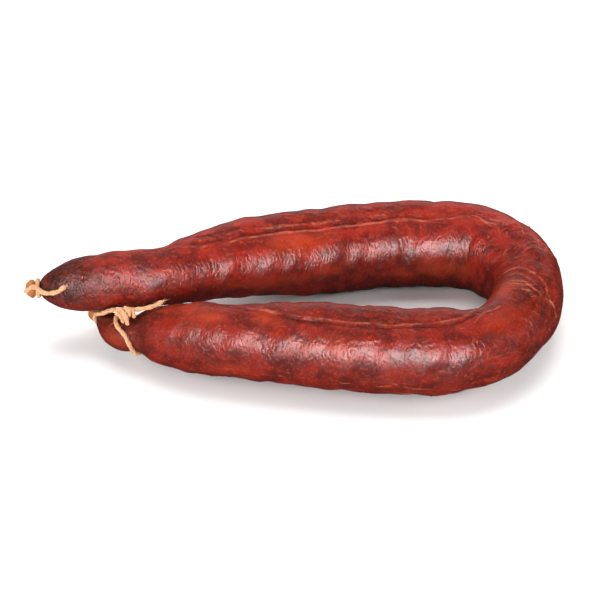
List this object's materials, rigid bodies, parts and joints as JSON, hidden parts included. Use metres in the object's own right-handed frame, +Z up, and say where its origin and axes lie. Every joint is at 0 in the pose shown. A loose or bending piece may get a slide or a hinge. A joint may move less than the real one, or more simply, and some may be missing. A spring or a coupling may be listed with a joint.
{
  "type": "cured sausage",
  "caption": "Cured sausage in a wrinkled natural casing, bent into a narrow horseshoe, tied off with twine at its ends and resting on its side.",
  "frame": {"origin": "middle of the footprint, on the surface that the sausage lies on", "axes": "+X along the arms from the tied ends to the bend, +Y from the near arm to the far arm, +Z up"},
  "size_m": [0.2494, 0.1242, 0.0391],
  "materials": {
    "cured_casing": "satin, broken gloss over fine wrinkles",
    "cotton_twine": "matte twisted cotton"
  },
  "bodies": {
    "root": {"sausage": "cured_casing", "twine_far": "cotton_twine", "twine_near": "cotton_twine"}
  },
  "joints": []
}
